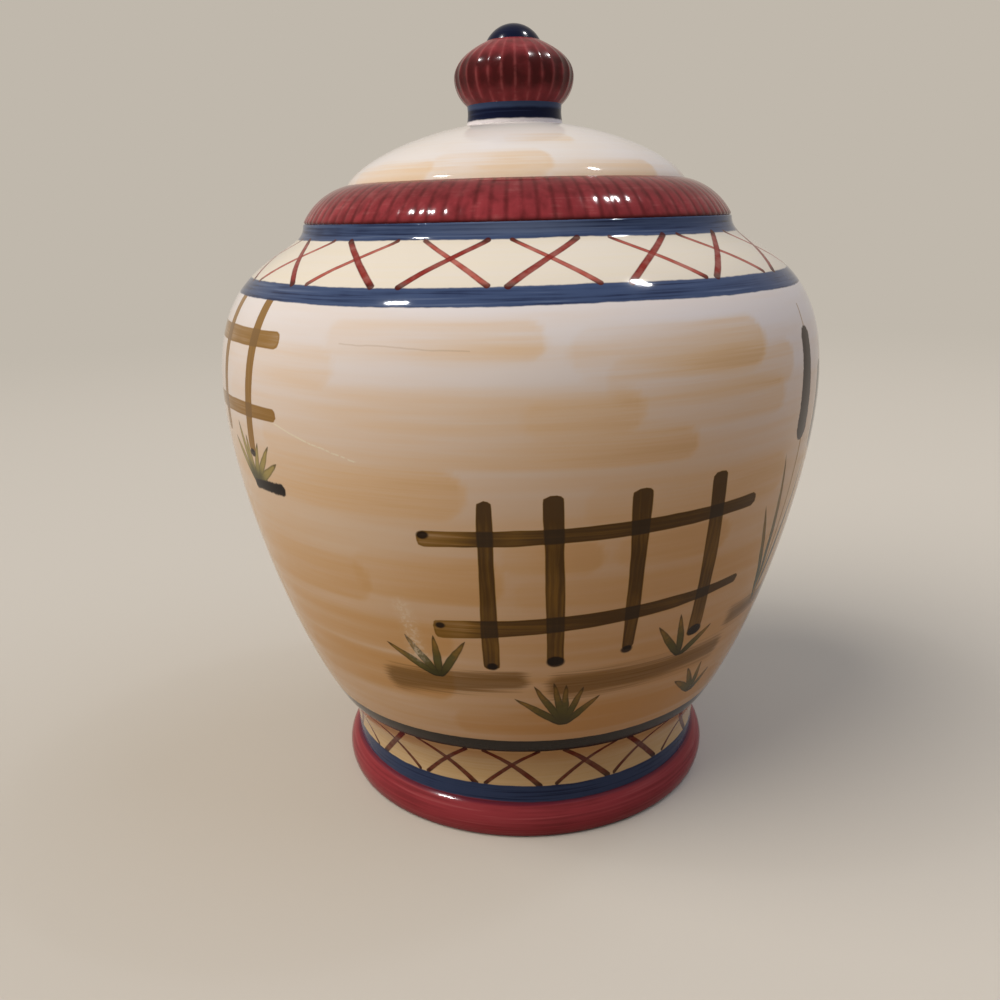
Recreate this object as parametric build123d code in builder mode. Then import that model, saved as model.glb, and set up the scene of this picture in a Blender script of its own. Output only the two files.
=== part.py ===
"""Glazed ceramic canister: a footed jar, a domed lid with its knob, and the lid's seal.

Millimetres, +Z up. The origin is the centre of the face that the jar stands on.
Every piece is turned about Z, so each sketch is drawn as radius and height on the XZ plane.
"""

import os
from math import atan2, cos, degrees, radians, sin

from build123d import *

os.makedirs("parts", exist_ok=True)

# Jar outside, from the foot up
foot_roll_radius = 64.8  # widest point of the rolled foot ring
foot_roll_rise = 4.2  # from the floor up to that point
foot_roll_height = 10.7
foot_tuck_low = 1.0  # how far the roll draws in from its widest point down to the floor
foot_tuck_high = 2.5  # and up to its top edge
waist_tuck = 3.6  # from the roll's widest point in to the narrowest point of the cove above it
waist_rise = 4.8  # and from the roll's top edge up to it
cove_flare = 5.1  # from the cove's narrowest point out to where it runs into the flank
cove_rise = 15.5
belly_radius = 96.1
belly_height = 137.0
rim_radius = 67.5
rim_height = 186.2
neck_flare = 2.8  # from the rim out to where the shoulder runs into the neck's cove
neck_height = 5.2

# How full each curve is: the share of its height that it runs straight on from its ends
flank_low_share = 0.198
flank_high_share = 0.311
shoulder_low_share = 0.705
shoulder_high_share = 0.307

# Jar inside and underneath
wall = 5.5
floor_thickness = 6.5
floor_corner = 6.0
neck_wall = 6.3
foot_ring_width = 10.5
foot_recess = 3.0
edge_round = 1.0
seam_round = 0.5  # where the lid sits on the rim

# Lid
lid_ring_width = 14.5  # from the rim in to where the ring meets the dome
lid_ring_height = 11.1
lid_ring_bulge = 2.1  # how far the ring swells out of the straight line between its edges
dome_height = 16.9
dome_lean_low = 28.0  # degrees from upright, where the dome springs from the ring
dome_lean_high = 81.0  # and where it meets the knob
dome_low_share = 0.41  # of the dome's height that it runs straight on from the ring
dome_high_share = 0.484  # and of its width, from the knob
lid_wall = 5.5
flange_depth = 9.5
flange_wall = 4.0
flange_gap = 1.3  # between the flange and the neck's bore

# Seal round the flange
seal_height = 3.2
seal_drop = 1.6  # from the lid's seat down to the seal's groove
seal_groove = 1.5
seal_lip = 0.9
seal_lip_count = 2
seal_gap = 0.2

# Knob
knob_collar_radius = 15.0
knob_collar_height = 5.7
knob_neck_radius = 14.7  # where the bulb stands on the collar
knob_bulb_radius = 18.5
knob_bulb_height = 18.3
knob_bulb_rise = 8.1  # from the collar up to the bulb's widest point
knob_bulb_share = 0.49  # of the bulb's upper part that it runs straight up
knob_crown_lean = 66.0  # degrees from upright, where the bulb meets the bead
knob_crown_pull = 4.5
knob_bead_radius = 8.3
knob_bead_height = 5.0

# Worked out from the sizes above
waist_radius = foot_roll_radius - waist_tuck
waist_height = foot_roll_height + waist_rise
flank_radius = waist_radius + cove_flare
flank_height = waist_height + cove_rise
flank_lean = 2 * atan2(cove_flare, cove_rise)
flank_pull_low = flank_low_share * (belly_height - flank_height)
flank_pull_high = flank_high_share * (belly_height - flank_height)
shoulder_radius = rim_radius + neck_flare
shoulder_height = rim_height - neck_height
shoulder_lean = 2 * atan2(neck_flare, neck_height)
shoulder_pull_low = shoulder_low_share * (shoulder_height - belly_height)
shoulder_pull_high = shoulder_high_share * (shoulder_height - belly_height)
bore_radius = rim_radius - neck_wall
inner_floor = foot_recess + floor_thickness
flange_radius = bore_radius - flange_gap
flange_bore = flange_radius - flange_wall
flange_low = rim_height - flange_depth
lid_ring_top_radius = rim_radius - lid_ring_width
ring_top = rim_height + lid_ring_height
dome_top = ring_top + dome_height
dome_pull_low = dome_low_share * dome_height
dome_pull_high = dome_high_share * (lid_ring_top_radius - knob_collar_radius)
dome_low = -radians(dome_lean_low)
dome_high = -radians(dome_lean_high)
seal_top = rim_height - seal_drop
seal_low = seal_top - seal_height
groove_radius = flange_radius - seal_groove
collar_top = dome_top + knob_collar_height
bulb_top = collar_top + knob_bulb_height
bulb_pull = knob_bulb_share * (knob_bulb_height - knob_bulb_rise)
overall_height = bulb_top + knob_bead_height


def bulged(start, end, bulge):
    """The middle point of an arc that swells to the left of the line from start to end."""
    (r0, z0), (r1, z1) = start, end
    length = ((r1 - r0) ** 2 + (z1 - z0) ** 2) ** 0.5
    return ((r0 + r1) / 2 - bulge * (z1 - z0) / length, (z0 + z1) / 2 + bulge * (r1 - r0) / length)


def inward(radius, height, lean, depth):
    """The point that lies depth inside a wall which leans out by lean from upright."""
    return (radius - depth * cos(lean), height + depth * sin(lean))


def pulled(point, lean, reach):
    """The handle that lies reach up along a wall which leans out by lean from upright."""
    return (point[0] + reach * sin(lean), point[1] + reach * cos(lean))


# Jar
foot_low = (foot_roll_radius - foot_tuck_low, 0)
foot_wide = (foot_roll_radius, foot_roll_rise)
foot_high = (foot_roll_radius - foot_tuck_high, foot_roll_height)
foot_inner = foot_low[0] - foot_ring_width
waist = (waist_radius, waist_height)
flank = (flank_radius, flank_height)
belly = (belly_radius, belly_height)
shoulder = (shoulder_radius, shoulder_height)
rim = (rim_radius, rim_height)

inner_waist = (waist_radius - wall, inner_floor + floor_corner)
floor_edge = (inner_waist[0] - floor_corner, inner_floor)
inner_flank = inward(flank_radius, flank_height, flank_lean, wall)
inner_belly = (belly_radius - wall, belly_height)
inner_shoulder = inward(shoulder_radius, shoulder_height, -shoulder_lean, wall)
bore_run = (inner_shoulder[0] - bore_radius) / sin(shoulder_lean)
bore_low = pulled(inner_shoulder, -shoulder_lean, bore_run)

with BuildPart() as jar_body:
    with BuildSketch(Plane.XZ):
        with BuildLine():
            Polyline((0, foot_recess), (foot_inner, foot_recess), (foot_inner, 0), foot_low)
            ThreePointArc(foot_low, foot_wide, foot_high)
            TangentArc(waist, foot_high, tangent=(0, -1))
            TangentArc(waist, flank, tangent=(0, 1))
            Bezier(
                flank,
                pulled(flank, flank_lean, flank_pull_low),
                (belly_radius, belly_height - flank_pull_high),
                belly,
            )
            Bezier(
                belly,
                (belly_radius, belly_height + shoulder_pull_low),
                pulled(shoulder, -shoulder_lean, -shoulder_pull_high),
                shoulder,
            )
            TangentArc(rim, shoulder, tangent=(0, -1))
            Polyline(rim, (bore_radius, rim_height), bore_low, inner_shoulder)
            Bezier(
                inner_shoulder,
                pulled(inner_shoulder, -shoulder_lean, -shoulder_pull_high),
                (inner_belly[0], belly_height + shoulder_pull_low),
                inner_belly,
            )
            Bezier(
                inner_belly,
                (inner_belly[0], belly_height - flank_pull_high),
                pulled(inner_flank, flank_lean, flank_pull_low),
                inner_flank,
            )
            TangentArc(inner_waist, inner_flank, tangent=(0, 1))
            TangentArc(inner_waist, floor_edge, tangent=(0, -1))
            Polyline(floor_edge, (0, inner_floor), (0, foot_recess))
        make_face()
    revolve(axis=Axis.Z)
    circles = jar_body.edges().filter_by(GeomType.CIRCLE)
    rim_edges = circles.filter_by_position(Axis.Z, rim_height, rim_height)
    standing_edges = circles.filter_by_position(Axis.Z, 0, 0)
    fillet(rim_edges, seam_round)
    fillet(standing_edges, edge_round)
jar_body.part.label = "jar_body"
export_step(jar_body.part, "parts/jar_body.step")

# Lid: the ring that sits on the jar's rim, the dome, and the flange that drops into the neck
seat_edge = (rim_radius, rim_height)
ring_edge = (lid_ring_top_radius, ring_top)
dome_edge = (knob_collar_radius, dome_top)
under_ring_edge = (flange_bore, ring_top - lid_wall - (flange_bore - lid_ring_top_radius))
under_dome_edge = inward(lid_ring_top_radius, ring_top, dome_low, lid_wall)
under_dome_top = (knob_collar_radius, dome_top - lid_wall)

with BuildPart() as lid_shell:
    with BuildSketch(Plane.XZ):
        with BuildLine():
            Line((0, dome_top), dome_edge)
            Bezier(
                dome_edge,
                pulled(dome_edge, dome_high, -dome_pull_high),
                pulled(ring_edge, dome_low, dome_pull_low),
                ring_edge,
            )
            ThreePointArc(ring_edge, bulged(seat_edge, ring_edge, -lid_ring_bulge), seat_edge)
            Polyline(
                seat_edge,
                (flange_radius, rim_height),
                (flange_radius, seal_top),
                (groove_radius, seal_top),
                (groove_radius, seal_low),
                (flange_radius, seal_low),
                (flange_radius, flange_low),
                (flange_bore, flange_low),
                under_ring_edge,
                under_dome_edge,
            )
            Bezier(
                under_dome_edge,
                pulled(under_dome_edge, dome_low, dome_pull_low),
                pulled(under_dome_top, dome_high, -dome_pull_high),
                under_dome_top,
            )
            Polyline(under_dome_top, (0, dome_top - lid_wall), (0, dome_top))
        make_face()
    revolve(axis=Axis.Z)
    circles = lid_shell.edges().filter_by(GeomType.CIRCLE)
    seat_outer = circles.filter_by_position(Axis.Z, rim_height, rim_height).sort_by(SortBy.RADIUS)[-1]
    flange_tip = circles.filter_by_position(Axis.Z, flange_low, flange_low)
    fillet(seat_outer, seam_round)
    fillet(flange_tip, edge_round)
lid_shell.part.label = "lid_shell"
export_step(lid_shell.part, "parts/lid_shell.step")

# Seal: a band in the flange's groove, with lips that reach for the neck's bore
seal_inner = groove_radius + seal_gap
seal_band = flange_radius
seal_outer = bore_radius - seal_gap
band_low = seal_low + seal_gap
band_top = seal_top - seal_gap
lip_pitch = (band_top - band_low) / seal_lip_count

with BuildPart() as lid_seal:
    with BuildSketch(Plane.XZ):
        with Locations(((seal_inner + seal_band) / 2, (band_low + band_top) / 2)):
            Rectangle(seal_band - seal_inner, band_top - band_low)
        lip_heights = [band_low + (i + 0.5) * lip_pitch for i in range(seal_lip_count)]
        with Locations([((seal_inner + seal_outer) / 2, z) for z in lip_heights]):
            Rectangle(seal_outer - seal_inner, seal_lip)
    revolve(axis=Axis.Z)
lid_seal.part.label = "lid_seal"
export_step(lid_seal.part, "parts/lid_seal.step")

# Knob: collar, bulb and bead, stuck on the flat crown of the dome
bulb_low = (knob_neck_radius, collar_top)
bulb_high = (knob_bead_radius, bulb_top)
bulb_wide = (knob_bulb_radius, collar_top + knob_bulb_rise)
bead_top = (0, overall_height)

with BuildPart() as lid_knob:
    with BuildSketch(Plane.XZ):
        with BuildLine():
            Polyline((0, dome_top), dome_edge, bulb_low)
            TangentArc(bulb_wide, bulb_low, tangent=(0, -1))
            Bezier(
                bulb_wide,
                (knob_bulb_radius, bulb_wide[1] + bulb_pull),
                pulled(bulb_high, -radians(knob_crown_lean), -knob_crown_pull),
                bulb_high,
            )
            TangentArc(bead_top, bulb_high, tangent=(1, 0))
            Line(bead_top, (0, dome_top))
        make_face()
    revolve(axis=Axis.Z)
lid_knob.part.label = "lid_knob"
export_step(lid_knob.part, "parts/lid_knob.step")

print(f"overall height {overall_height:.1f} mm, widest {2 * belly_radius:.1f} mm")
print(f"cove leans {degrees(flank_lean):.1f} and {degrees(shoulder_lean):.1f} degrees from upright")
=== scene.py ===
"""Looks of the glazed canister: turned and fluted meshes, hand-painted glazes, floor, lamps and camera."""

from math import atan2, cos, degrees, hypot, pi, radians, sin, tan

import bmesh
import bpy
import numpy as np
from mathutils import Matrix, Vector
from mathutils.geometry import interpolate_bezier


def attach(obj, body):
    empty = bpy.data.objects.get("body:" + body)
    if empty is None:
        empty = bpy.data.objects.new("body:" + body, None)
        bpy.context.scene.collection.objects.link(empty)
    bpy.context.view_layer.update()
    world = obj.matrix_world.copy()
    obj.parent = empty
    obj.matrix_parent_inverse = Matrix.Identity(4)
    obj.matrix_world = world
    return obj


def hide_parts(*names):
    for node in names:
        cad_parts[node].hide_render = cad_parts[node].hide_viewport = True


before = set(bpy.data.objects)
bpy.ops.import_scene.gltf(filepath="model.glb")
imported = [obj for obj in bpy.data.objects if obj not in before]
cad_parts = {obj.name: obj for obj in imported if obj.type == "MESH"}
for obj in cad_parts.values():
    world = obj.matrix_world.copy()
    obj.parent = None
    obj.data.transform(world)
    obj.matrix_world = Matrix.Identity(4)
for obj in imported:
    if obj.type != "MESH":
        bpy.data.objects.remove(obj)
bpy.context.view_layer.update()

MM = 0.001

# Outline of the jar as (radius, height) in millimetres, as the solids have it
FOOT_INNER = 53.3
FOOT_RECESS = 3.0
FOOT_STAND = (63.0, 0.0)
FOOT_EDGE = (64.15, 0.8)
FOOT_EDGE_TURN = 68.0
FOOT_WIDE = (64.8, 4.2)
WAIST = (61.2, 15.5)
FLANK = (66.3, 31.0)
FLANK_LEAN = 36.4
FLANK_PULLS = (21.0, 33.0)
BELLY = (96.1, 137.0)
SHOULDER = (70.3, 181.0)
SHOULDER_LEAN = -56.6
SHOULDER_PULLS = (31.0, 13.5)
RIM = (67.5, 186.2)
WALL = 5.5
BORE = 61.2
BORE_LOW = 180.4
FLOOR_TOP = 9.5
FLOOR_CORNER = 6.0
EDGE_ROUND = 1.0
SEAM_ROUND = 0.5
# The foot's roll is rounder here than on the solid, up to the crease that parts it from the waist
CREASE = (61.1, 10.4)

# Outline of the lid, its flange and its seal
DOME_TOP = (15.0, 214.2)
DOME_LEANS = (-28.0, -81.0)
DOME_PULLS = (6.9, 18.4)
RING_EDGE = (53.0, 197.3)
RING_TURN = 49.6
RING_LOW = (67.14, 186.92)
SEAT = (66.69, 186.2)
SEAT_TURN = 116.0
LID_WALL = 5.5
FLANGE = 59.9
FLANGE_BORE = 55.9
FLANGE_LOW = 176.7
UNDER_RING = 188.9
GROOVE = 58.4
GROOVE_HEIGHTS = (181.4, 184.6)
SEAL_INNER = 58.6
SEAL_HEIGHTS = (181.6, 184.4)
SEAL_LIPS = (182.3, 183.7)
SEAL_LIP_ROUND = 0.45
SEAL_LIP_ROOT = 60.55
SEAL_LIP_TURN = 179.9

# Outline of the knob
COLLAR_WAIST = (14.5, 217.4)
COLLAR_TOP = (14.7, 219.9)
BULB_WIDE = (18.5, 228.0)
BULB_TOP = (8.3, 238.2)
BULB_LEAN = -66.0
BULB_PULLS = (5.0, 4.5)
BEAD_TOP = (0.0, 243.2)

# Flutes, with a whole number of steps of the spin to each
RING_RIBS = 100
RING_RIB_DEPTH = 0.18
RING_STEPS = 6 * RING_RIBS
BULB_FLUTES = 28
BULB_FLUTE_DEPTH = 0.25
BULB_STEPS = 10 * BULB_FLUTES
JAR_STEPS = 360
SEAL_STEPS = 240
# Share by which the ribs run out upwards, and the power by which the hollows swell
RING_RUN_OUT = 0.7
BULB_SWELL = 0.6

# Distances at which points, and a mesh's corners, are one, a small margin, and a sharp angle
SAME_POINT = 0.001
WELD = 0.0005
NEAR = 0.01
SHARP_ANGLE = 31.0

# Heights at which the painting changes, and one beyond them all
FOOT_RED_TOP = 10.9
FOOT_BLUE_TOP = 16.8
DARK_LINE = (32.9, 38.6)
STRIPE = (166.9, 171.2)
NECK_BLUE_LOW = 181.8
NECK_SHEEN = (182.2, 183.8)
RING_LOW_SHADE = (187.6, 186.5)
RING_HIGH_SHADE = (190.4, 193.6)
COLLAR_WHITE_TOP = 215.2
BULB_DARK_LOW = (221.5, 226.5)
BULB_DARK_HIGH = (236.0, 230.5)
FAR = 400.0

# Heights over which the body's colours and its painted shade change
WASH_GATHERS = (166.0, 80.0)
RIGHT_SHADE_HEIGHTS = (154.0, 128.0)
STAIN_DEEPENS = (150.0, 52.0)
GROUND_BLUSHES = (166.0, 96.0)
OCHRE_SHADE_HEIGHTS = (135.0, 55.0)
POSTS_LOADED = (108.0, 118.0)
# Distances round from the front over which they change, and where the rails are driest
LEFT_END = (-55.0, -62.0)
RIGHT_SHADE_SPAN = (-20.0, 25.0)
RAILS_LOADED = (-8.0, 22.0)
RAILS_DRY = -24.0

# Radius at which the body and the dome are laid out flat, and how far the painter's hand shook
BODY_RADIUS = 90.0
DOME_RADIUS = 45.0
BODY_SHAKE = 1.6
CROSS_SHAKE = 0.5

# Rows of crosses: ends of the wall, turn of the first cross, half widths of the strokes, and reach round
CROSSES = 18
SHOULDER_ROW = ((84.2, STRIPE[1]), (69.3, NECK_BLUE_LOW))
SHOULDER_TURN = 4.5
SHOULDER_HALVES = (0.65, 0.8, 0.9, 0.85)
SHOULDER_REACH = 7.2
FOOT_ROW = ((61.3, FOOT_BLUE_TOP), (66.8, DARK_LINE[0]))
FOOT_TURN = -4.5
FOOT_HALVES = (0.75, 0.65, 0.9, 0.85)
FOOT_REACH = -7.4

# How finely bristle marks change along each axis
BRISTLES = (30.0, 30.0, 1500.0)
BROAD_BRISTLES = (14.0, 14.0, 240.0)
UPRIGHT_BRISTLES = (1.1, 0.035, 0)
FLUTE_BRISTLES = (260.0, 260.0, 110.0)

# Glazes: specular level, the least roughness of each, and how much it varies
SPECULAR = 0.1
GLAZE_ROUGH = 0.03
FOOT_ROUGH = 0.1
INNER_ROUGH = 0.1
RING_ROUGH = 0.07
BULB_ROUGH = 0.14
KNOB_ROUGH = 0.12
ROUGH_SPREAD = 0.08
# Depth of the surfaces' unevenness in metres, and the share of it that shows
GLAZE_RIPPLE = 0.00012
CLAY_PITS = 0.0002
SEAL_GRAIN = 0.0001
BUMP_SHARE = 0.5
# How much the dark line above the foot covers
LINE_COVER = 0.97


def colour(red, green, blue):
    """A paint colour, written as a screen shows it, in the shader's linear light."""
    parts = [c / 255 for c in (red, green, blue)]
    return (*[p / 12.92 if p < 0.04 else ((p + 0.055) / 1.055) ** 2.4 for p in parts], 1)


BARE = colour(228, 222, 224)
CREAM = colour(230, 218, 196)
BLUSH = colour(216, 189, 161)
PEACH = colour(224, 193, 156)
TAN = colour(202, 158, 103)
# Warm painted shade for the bottom of the body
OCHRE_SHADE = colour(190, 138, 62)
BAND_TAN = colour(190, 154, 96)
BROWN_WASH = colour(122, 88, 36)
BLUE = colour(64, 80, 114)
BLUE_DEEP = colour(34, 44, 74)
BLUE_THIN = colour(94, 108, 138)
BLUE_BLACK = colour(10, 19, 48)
RED = colour(150, 55, 61)
RED_DEEP = colour(74, 22, 24)
RED_THIN = colour(178, 98, 98)
CROSS_THIN = colour(176, 86, 74)
CROSS_RED = colour(140, 46, 40)
CROSS_DEEP = colour(70, 20, 18)
CROSS_BROWN = colour(98, 42, 26)
LINE_DARK = colour(8, 11, 11)
FENCE_THIN = colour(144, 106, 36)
FENCE = colour(72, 48, 7)
FENCE_DEEP = colour(40, 25, 3)
POOL = colour(24, 12, 6)
GRASS_DARK = colour(30, 35, 15)
GRASS = colour(78, 78, 30)
GRASS_TIP = colour(138, 106, 40)
GRASS_PALE = colour(172, 156, 88)
HEAD_BROWN = colour(48, 26, 18)
STEM_GOLD = colour(160, 118, 52)
CLAY = colour(214, 196, 170)
SILICONE = colour(226, 224, 216)
FLOOR_GREY = colour(199, 191, 179)
FLOOR_BOUNCE = colour(136, 106, 70)
BACKGROUND = colour(192, 184, 172)
AMBIENT = colour(248, 247, 248)
KEY_WARM = colour(255, 250, 242)
FILL_COOL = colour(226, 236, 255)

# Washes on the body: from and to angle, height, half height and strength
WASHES = (
    (-30, 0, 159.3, 4.6, 0.55),
    (10, 38, 155.6, 6.4, 0.75),
    (15, 47, 149.0, 5.6, 0.55),
    (-66, -14, 121.5, 6.8, 0.8),
    (-46, 24, 132.4, 4.2, 0.65),
    (-58, 14, 142.0, 5.2, 0.5),
    (-62, -34, 152.0, 5.0, 0.4),
    (2, 44, 140.5, 4.8, 0.5),
    (12, 47, 117.5, 6.0, 0.6),
    (-2, 9, 103.5, 4.6, 0.85),
    (17, 33, 104.0, 5.0, 0.85),
    (-27, -9, 97.0, 7.4, 0.7),
    (-68, -33, 93.5, 7.0, 0.5),
    (-52, -18, 77.0, 6.0, 0.5),
    (-50, -20, 62.0, 7.4, 0.6),
    (0, 52, 93.0, 4.6, 0.5),
    (-14, 50, 46.5, 4.8, 0.8),
    (58, 86, 112.0, 6.0, 0.7),
    (64, 88, 88.0, 7.0, 0.7),
    (-88, -66, 104.0, 6.0, 0.6),
    (-88, -66, 76.0, 7.0, 0.6),
)
# Washes on the dome: from and to angle, distance in from the ring, half height and strength
DOME_WASHES = (
    (-62, -32, 2.4, 3.0, 0.8),
    (-24, 5, 4.4, 4.4, 0.9),
    (12, 45, 1.6, 2.6, 0.8),
    (-2, 20, 16.0, 3.4, 0.6),
    (70, 112, 3.0, 3.6, 0.8),
    (128, 168, 4.6, 3.8, 0.7),
    (-168, -128, 2.8, 3.6, 0.8),
    (-112, -78, 5.0, 3.8, 0.6),
    (86, 130, 17.0, 3.4, 0.5),
    (-150, -100, 15.0, 3.4, 0.5),
)
# Ground under the fence: from and to (angle, height) and half height, of which the end keeps a share
SMEARS = (
    ((-28, 61.0), (-3, 64.0), 5.0),
    ((6, 61.2), (43, 62.6), 4.8),
    ((46, 72.0), (76, 74.0), 3.6),
)
SMEAR_TAPER = 0.8
# Fence: from and to (angle, height) and half width at both ends
RAILS = (
    ((-17, 109.2), (41, 112.0), 2.3, 1.9),
    ((-16, 81.2), (42, 87.0), 3.0, 1.5),
    ((-110, 156.6), (-45, 157.4), 2.5, 2.2),
    ((-110, 136.4), (-45, 137.6), 2.7, 1.9),
)
POSTS = (
    ((-7.0, 119.0), (-7.4, 70.0), 1.9, 2.5),
    ((3.5, 119.5), (4.6, 71.5), 2.6, 2.5),
    ((17.5, 119.5), (18.5, 73.5), 2.6, 2.0),
    ((31.9, 121.0), (33.8, 73.5), 2.4, 2.6),
    ((-51, 169.0), (-53.8, 126.5), 2.2, 1.8),
    ((-64.5, 169.0), (-65.5, 130.0), 2.2, 2.0),
)
# Dark pools of paint, wider than high and with soft edges: angle, height and radius
POOL_SPREAD = Vector((0.7, 1.0))
POOL_SOFT = 0.3
POOLS = (
    (-17.2, 110.2, 1.1),
    (-16.2, 82.6, 1.0),
    (-7.3, 69.0, 1.2),
    (4.6, 70.6, 1.9),
    (18.5, 72.2, 1.3),
    (33.8, 72.8, 1.9),
    (-53.9, 125.0, 1.2),
)
# Tufts of grass: the root, then the tips of the blades
TUFTS = (
    ((-54.8, 114.6), (-61.5, 128), (-58.6, 133), (-56, 130), (-51.5, 128.5), (-47.6, 128.5), (-45.8, 124)),
    ((-18.2, 64.0), (-28.4, 74.0), (-24.0, 78.0), (-17.9, 79.0), (-12.0, 77.5)),
    ((7.3, 45.5), (-3.4, 57.0), (0.4, 62.0), (4.4, 63.0), (7.0, 62.0), (10.6, 60.6), (14.6, 56.6)),
    ((31.6, 64.5), (24.5, 77.5), (29.4, 80.5), (39.0, 73.0)),
    ((42.0, 45.5), (33.8, 54.0), (36.6, 57.5), (41.0, 58.0), (46.0, 53.0)),
)
ROOT_STROKE = ((-55.0, 115.0), (-46.0, 116.2))
# Reeds: foot and top of the stem, ends and half width of the head, of which the end keeps a share
REEDS = (
    ((55.0, 76.0), (57.5, 162.0), (55.9, 128.0), (57.0, 153.0), 3.8),
    ((60.0, 74.0), (67.5, 150.0), (65.4, 122.0), (66.6, 142.0), 3.4),
    ((66.0, 76.0), (79.0, 160.0), (76.0, 133.0), (78.0, 153.0), 3.4),
)
HEAD_TAPER = 0.85
REED_LEAVES = (
    ((55.0, 73.0), (46.5, 108.0), (50.5, 122.0), (62.0, 118.0)),
    ((66.0, 73.0), (72.5, 114.0), (83.0, 118.0)),
)
# Marks of use: a brown hairline, a pale scratch and a scuff, on which a glint is painted
HAIRLINE = ((-30, 158.2), (-8.4, 157.0))
SCRATCH = ((-45.0, 135.6), (-27.3, 128.8))
SCUFF_GLINT = ((-23.2, 87.5), (-21.6, 72.0))


def arc(start, end, turn, count):
    """Points of an arc from start to end that turns left by the angle given."""
    (ar, az), (br, bz) = start, end
    reach = 2 * tan(radians(turn) / 2)
    cr = (ar + br) / 2 - (bz - az) / reach
    cz = (az + bz) / 2 + (br - ar) / reach
    points = []
    for i in range(count + 1):
        c, s = cos(radians(turn) * i / count), sin(radians(turn) * i / count)
        points.append((cr + (ar - cr) * c - (az - cz) * s, cz + (ar - cr) * s + (az - cz) * c))
    return points


def turn_from_upright(start, end):
    """The angle by which an arc turns that is upright at one of its ends."""
    return degrees(2 * atan2(abs(end[0] - start[0]), abs(end[1] - start[1])))


def pulled(point, lean, reach):
    """The handle that lies reach up along a wall which leans out by lean from upright."""
    return (point[0] + reach * sin(radians(lean)), point[1] + reach * cos(radians(lean)))


def inward(point, lean, depth):
    """The point that lies depth inside a wall which leans out by lean from upright."""
    return (point[0] - depth * cos(radians(lean)), point[1] + depth * sin(radians(lean)))


def curve(start, first, second, end, count):
    """Points of a smooth curve with two handles."""
    handles = [Vector(p) for p in (start, first, second, end)]
    return [tuple(p) for p in interpolate_bezier(*handles, count)]


def joined(*parts):
    """One outline from several, without the points that they share."""
    outline = []
    for part in parts:
        for r, z in part:
            if not outline or hypot(r - outline[-1][0], z - outline[-1][1]) > SAME_POINT:
                outline.append((r, z))
    return outline


def split(outline, height):
    """The outline below and above the point nearest to a height."""
    at = min(range(len(outline)), key=lambda i: abs(outline[i][1] - height))
    return outline[: at + 1], outline[at:]


def turned(spans, steps):
    """A turned piece: each span of its outline is spun about Z through an eighth, and gets its own finish.

    The eighth is then doubled three times, because a full spin of so many steps is slow.
    """
    bm = bmesh.new()
    eighth = 2 * pi / 8
    for finish, outline in enumerate(spans):
        done = len(bm.faces)
        points = [bm.verts.new((r * MM, 0, z * MM)) for r, z in outline]
        lines = [bm.edges.new(pair) for pair in zip(points, points[1:])]
        bmesh.ops.spin(bm, geom=points + lines, axis=(0, 0, 1), angle=eighth, steps=steps // 8)
        bm.faces.ensure_lookup_table()
        for face in bm.faces[done:]:
            face.material_index = finish
            face.smooth = True
    for share in (1, 2, 4):
        copy = bmesh.ops.duplicate(bm, geom=bm.verts[:] + bm.edges[:] + bm.faces[:])["geom"]
        corners = [part for part in copy if isinstance(part, bmesh.types.BMVert)]
        bmesh.ops.rotate(bm, verts=corners, cent=(0, 0, 0), matrix=Matrix.Rotation(share * eighth, 3, "Z"))
    bmesh.ops.remove_doubles(bm, verts=bm.verts, dist=WELD * MM)
    bmesh.ops.recalc_face_normals(bm, faces=bm.faces)
    return bm


def to_flute(point, count):
    """How far round a point is from the edge of a flute: 0 on the edge, 0.5 in the middle."""
    turns = count * atan2(point.x, -point.y) / (2 * pi)
    return abs((turns + 0.5) % 1 - 0.5)


def drawn_in(vert, depth):
    """Moves a vertex towards the axis by a depth in millimetres."""
    keep = 1 - depth * MM / hypot(vert.co.x, vert.co.y)
    vert.co = Vector((vert.co.x * keep, vert.co.y * keep, vert.co.z))


def piece(name, bm, glazes, body):
    """Makes a modelled mesh a piece of the scene that stands for the solid of the same name."""
    mesh = bpy.data.meshes.new(name)
    bm.to_mesh(mesh)
    bm.free()
    mesh.set_sharp_from_angle(angle=radians(SHARP_ANGLE))
    for glaze in glazes:
        mesh.materials.append(glaze.material)
    made = bpy.data.objects.new(name + "_look", mesh)
    bpy.context.scene.collection.objects.link(made)
    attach(made, body)
    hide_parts(name)
    return mesh


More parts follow.
